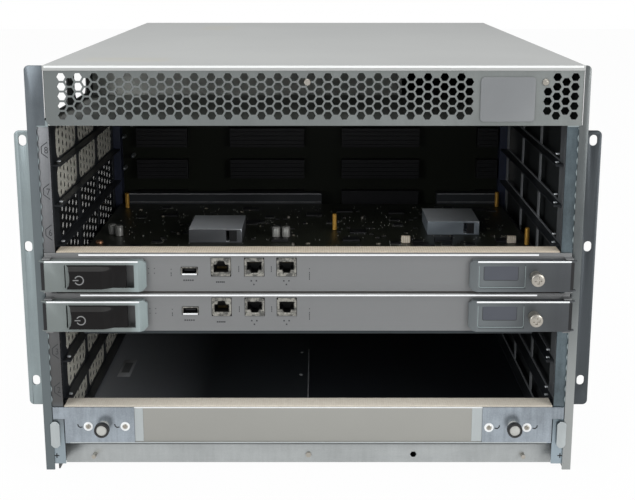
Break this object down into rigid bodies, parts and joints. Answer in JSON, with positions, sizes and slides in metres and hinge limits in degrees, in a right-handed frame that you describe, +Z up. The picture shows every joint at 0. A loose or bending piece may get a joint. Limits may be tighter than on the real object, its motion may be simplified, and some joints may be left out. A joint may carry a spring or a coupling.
{
  "type": "modular chassis switch",
  "caption": "Rack-mount card-cage switch chassis with hexagon-vented top bay, sliding control blades, ejector levers, a filler panel and rear power and blower modules.",
  "frame": {"origin": "middle of the underside: midway between the two rows of rack holes and halfway from the front flanges to the rear face", "axes": "+X right seen from the blade side, +Y into the chassis towards its rear modules, +Z up"},
  "size_m": [0.4784, 0.6577, 0.3467],
  "materials": {
    "cover_paint": "satin",
    "galvanised": "satin",
    "zinc_grille": "satin",
    "badge": "matte",
    "screw_steel": "satin",
    "tab_metal": "satin",
    "ear_zinc": "satin",
    "black_lining": "matte",
    "screen_metal": "matte",
    "rail_metal": "satin",
    "circuit_board": "satin",
    "connector_black": "matte",
    "post_paint": "satin",
    "blade_paint": "satin",
    "gasket": "matte",
    "port_shell": "satin",
    "can_metal": "satin",
    "lever_zinc": "satin",
    "switch_plastic": "matte",
    "filler_paint": "satin",
    "knob": "matte",
    "module_metal": "satin",
    "impeller_plastic": "matte"
  },
  "bodies": {
    "chassis": {"left_side_wall": "galvanised", "right_side_wall": "galvanised", "bottom_pan": "galvanised", "cage_floor": "black_lining", "top_cover": "cover_paint", "top_bay_floor": "galvanised", "rear_frame": "galvanised", "front_grille": "zinc_grille", "badge_plate": "badge", "chassis_screws": "screw_steel", "left_front_flange": "galvanised", "left_slot_strip": "galvanised", "left_rack_ear": "ear_zinc", "right_front_flange": "galvanised", "right_slot_strip": "galvanised", "right_rack_ear": "ear_zinc", "slot_tabs": "tab_metal", "left_card_guide": "black_lining", "right_card_guide": "black_lining", "intake_screen": "screen_metal", "card_rails": "rail_metal", "backplane": "circuit_board", "backplane_sockets": "connector_black", "backplane_posts": "post_paint", "rear_shelves": "galvanised"},
    "blade5": {"blade5_faceplate": "blade_paint", "blade5_tray": "galvanised", "blade5_board": "circuit_board", "blade5_gasket": "gasket", "blade5_ports": "port_shell", "blade5_plugs": "connector_black", "blade5_cans": "can_metal", "blade5_pivot_pins": "screw_steel"},
    "blade5_left_lever": {"blade5_left_lever": "lever_zinc"},
    "blade5_right_lever": {"blade5_right_lever": "lever_zinc"},
    "blade5_switch": {"blade5_switch": "switch_plastic"},
    "blade5_thumbscrew": {"blade5_thumbscrew": "screw_steel"},
    "blade4": {"blade4_faceplate": "blade_paint", "blade4_tray": "galvanised", "blade4_board": "circuit_board", "blade4_gasket": "gasket", "blade4_ports": "port_shell", "blade4_plugs": "connector_black", "blade4_cans": "can_metal", "blade4_pivot_pins": "screw_steel"},
    "blade4_left_lever": {"blade4_left_lever": "lever_zinc"},
    "blade4_right_lever": {"blade4_right_lever": "lever_zinc"},
    "blade4_switch": {"blade4_switch": "switch_plastic"},
    "blade4_thumbscrew": {"blade4_thumbscrew": "screw_steel"},
    "filler": {"filler_panel": "filler_paint", "filler_brackets": "galvanised", "filler_gasket": "gasket"},
    "filler_left_knob": {"filler_left_knob": "knob"},
    "filler_right_knob": {"filler_right_knob": "knob"},
    "power_supply_left": {"power_supply_left": "module_metal"},
    "blower_left": {"blower_left": "module_metal"},
    "impeller_left": {"impeller_left": "impeller_plastic"},
    "power_supply_right": {"power_supply_right": "module_metal"},
    "blower_right": {"blower_right": "module_metal"},
    "impeller_right": {"impeller_right": "impeller_plastic"}
  },
  "joints": [
    {"name": "blade5_slide", "type": "slide", "parent": "chassis", "child": "blade5", "axis": [0, -1, 0], "range_m": [0, 0.34]},
    {"name": "blade5_left_lever_turn", "type": "hinge", "parent": "blade5", "child": "blade5_left_lever", "pos_m": [-0.2146, -0.31025, 0.1752], "axis": [0, 0, -1], "range_deg": [0, 45]},
    {"name": "blade5_right_lever_turn", "type": "hinge", "parent": "blade5", "child": "blade5_right_lever", "pos_m": [0.2146, -0.31025, 0.1752], "axis": [0, 0, 1], "range_deg": [0, 45]},
    {"name": "blade5_switch_slide", "type": "slide", "parent": "blade5_left_lever", "child": "blade5_switch", "axis": [1, 0, 0], "range_m": [0, 0.006]},
    {"name": "blade5_thumbscrew_turn", "type": "hinge", "parent": "blade5_right_lever", "child": "blade5_thumbscrew", "pos_m": [0.1869, -0.31525, 0.1756], "axis": [0, -1, 0], "continuous": true},
    {"name": "blade4_slide", "type": "slide", "parent": "chassis", "child": "blade4", "axis": [0, -1, 0], "range_m": [0, 0.34]},
    {"name": "blade4_left_lever_turn", "type": "hinge", "parent": "blade4", "child": "blade4_left_lever", "pos_m": [-0.2146, -0.31025, 0.1409], "axis": [0, 0, -1], "range_deg": [0, 45]},
    {"name": "blade4_right_lever_turn", "type": "hinge", "parent": "blade4", "child": "blade4_right_lever", "pos_m": [0.2146, -0.31025, 0.1409], "axis": [0, 0, 1], "range_deg": [0, 45]},
    {"name": "blade4_switch_slide", "type": "slide", "parent": "blade4_left_lever", "child": "blade4_switch", "axis": [1, 0, 0], "range_m": [0, 0.006]},
    {"name": "blade4_thumbscrew_turn", "type": "hinge", "parent": "blade4_right_lever", "child": "blade4_thumbscrew", "pos_m": [0.1869, -0.31525, 0.1413], "axis": [0, -1, 0], "continuous": true},
    {"name": "filler_slide", "type": "slide", "parent": "chassis", "child": "filler", "axis": [0, -1, 0], "range_m": [0, 0.06]},
    {"name": "filler_left_knob_turn", "type": "hinge", "parent": "filler", "child": "filler_left_knob", "pos_m": [-0.175, -0.31325, 0.0408], "axis": [0, -1, 0], "continuous": true},
    {"name": "filler_right_knob_turn", "type": "hinge", "parent": "filler", "child": "filler_right_knob", "pos_m": [0.175, -0.31325, 0.0408], "axis": [0, -1, 0], "continuous": true},
    {"name": "power_supply_left_slide", "type": "slide", "parent": "chassis", "child": "power_supply_left", "axis": [0, 1, 0], "range_m": [0, 0.24]},
    {"name": "blower_left_slide", "type": "slide", "parent": "chassis", "child": "blower_left", "axis": [0, 1, 0], "range_m": [0, 0.13]},
    {"name": "impeller_left_spin", "type": "hinge", "parent": "blower_left", "child": "impeller_left", "pos_m": [-0.10405, 0.27475, 0.204], "axis": [0, 1, 0], "continuous": true},
    {"name": "power_supply_right_slide", "type": "slide", "parent": "chassis", "child": "power_supply_right", "axis": [0, 1, 0], "range_m": [0, 0.24]},
    {"name": "blower_right_slide", "type": "slide", "parent": "chassis", "child": "blower_right", "axis": [0, 1, 0], "range_m": [0, 0.13]},
    {"name": "impeller_right_spin", "type": "hinge", "parent": "blower_right", "child": "impeller_right", "pos_m": [0.10945, 0.27475, 0.204], "axis": [0, 1, 0], "continuous": true}
  ]
}
